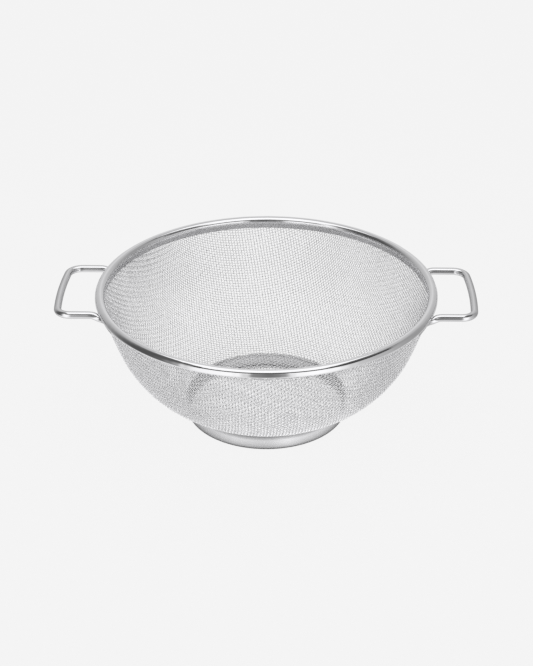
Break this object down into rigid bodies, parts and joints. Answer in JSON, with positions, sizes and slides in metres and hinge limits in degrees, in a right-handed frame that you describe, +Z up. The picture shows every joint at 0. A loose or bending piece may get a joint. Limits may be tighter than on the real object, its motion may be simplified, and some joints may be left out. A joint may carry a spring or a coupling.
{
  "type": "wire mesh strainer",
  "caption": "Fine wire mesh bowl strainer with a rolled steel rim, two bent wire loop handles and a ring foot.",
  "frame": {"origin": "on the bowl's axis, in the plane the foot ring rests on", "axes": "+Z up along the bowl's axis; +X through the right handle, -X through the left handle; -Y towards the user"},
  "size_m": [0.2944, 0.24, 0.0995],
  "materials": {
    "polished_rim": "polished stainless sheet with faint drawing lines along the roll",
    "plain_wire": "plain drawn stainless wire",
    "woven_cloth": "bright woven stainless wire cloth, plain weave, wires 0.46 mm thick at about 2.2 by 2.0 mm pitch",
    "satin_foot": "satin stainless sheet, brushed around the ring",
    "handle_wire": "polished stainless wire"
  },
  "bodies": {
    "root": {"rim_band": "polished_rim", "rim_core_hoop": "plain_wire", "mesh_bowl": "woven_cloth", "foot_ring": "satin_foot", "left_handle": "handle_wire", "right_handle": "handle_wire"}
  },
  "joints": []
}
